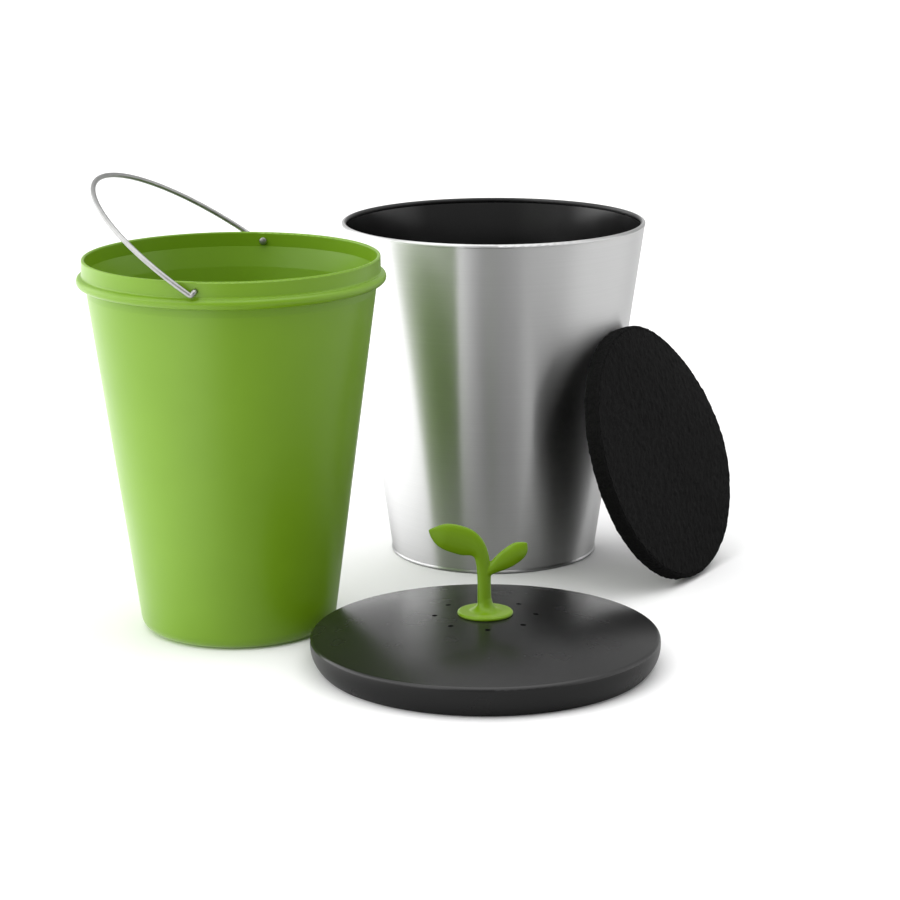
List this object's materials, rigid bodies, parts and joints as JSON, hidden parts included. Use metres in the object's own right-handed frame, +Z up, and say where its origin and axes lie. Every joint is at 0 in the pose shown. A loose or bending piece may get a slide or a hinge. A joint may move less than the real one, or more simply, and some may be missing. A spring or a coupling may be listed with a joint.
{
  "type": "compost caddy",
  "caption": "Counter-top compost caddy: tapered steel pail with liner, lift-out green bucket with wire bail, domed lift-off lid with a sprout knob, and a round carbon foam filter.",
  "frame": {"origin": "centre of the pail's base on the floor, on the pail's own axis", "axes": "+Z up; +X to the right and +Y to the back of the set as it is laid out for a picture"},
  "size_m": [0.3938, 0.4389, 0.2646],
  "materials": {
    "steel": "brushed",
    "liner": "satin",
    "bucket": "satin",
    "wire": "bright",
    "lid": "satin",
    "holder": "satin",
    "knob": "satin",
    "screw": "plain",
    "foam": "rough"
  },
  "bodies": {
    "pail": {"pail_sleeve": "steel", "base_pan": "steel", "pail_liner": "liner"},
    "bucket": {"bucket_shell": "bucket"},
    "bail": {"bail_wire": "wire"},
    "lid": {"lid_cover": "lid", "filter_holder": "holder", "knob_sprout": "knob", "knob_screw": "screw", "knob_washer": "screw"},
    "filter": {"filter_disc": "foam"}
  },
  "joints": [
    {"name": "bucket_lift", "type": "slide", "parent": "pail", "child": "bucket", "axis": [0, 0, 1], "range_m": [0, 0.25]},
    {"name": "bail_swing", "type": "hinge", "parent": "bucket", "child": "bail", "pos_m": [-0.15311, -0.16419, 0.2142], "axis": [0.1564, 0.9877, 0], "range_deg": [-35.5, 146.5]},
    {"name": "lid_lift", "type": "slide", "parent": "pail", "child": "lid", "axis": [0.1218, -0.0673, 0.9903], "range_m": [0, 0.25]},
    {"name": "filter_lift", "type": "slide", "parent": "pail", "child": "filter", "axis": [0.8188, -0.4728, 0.3256], "range_m": [0, 0.1]}
  ]
}
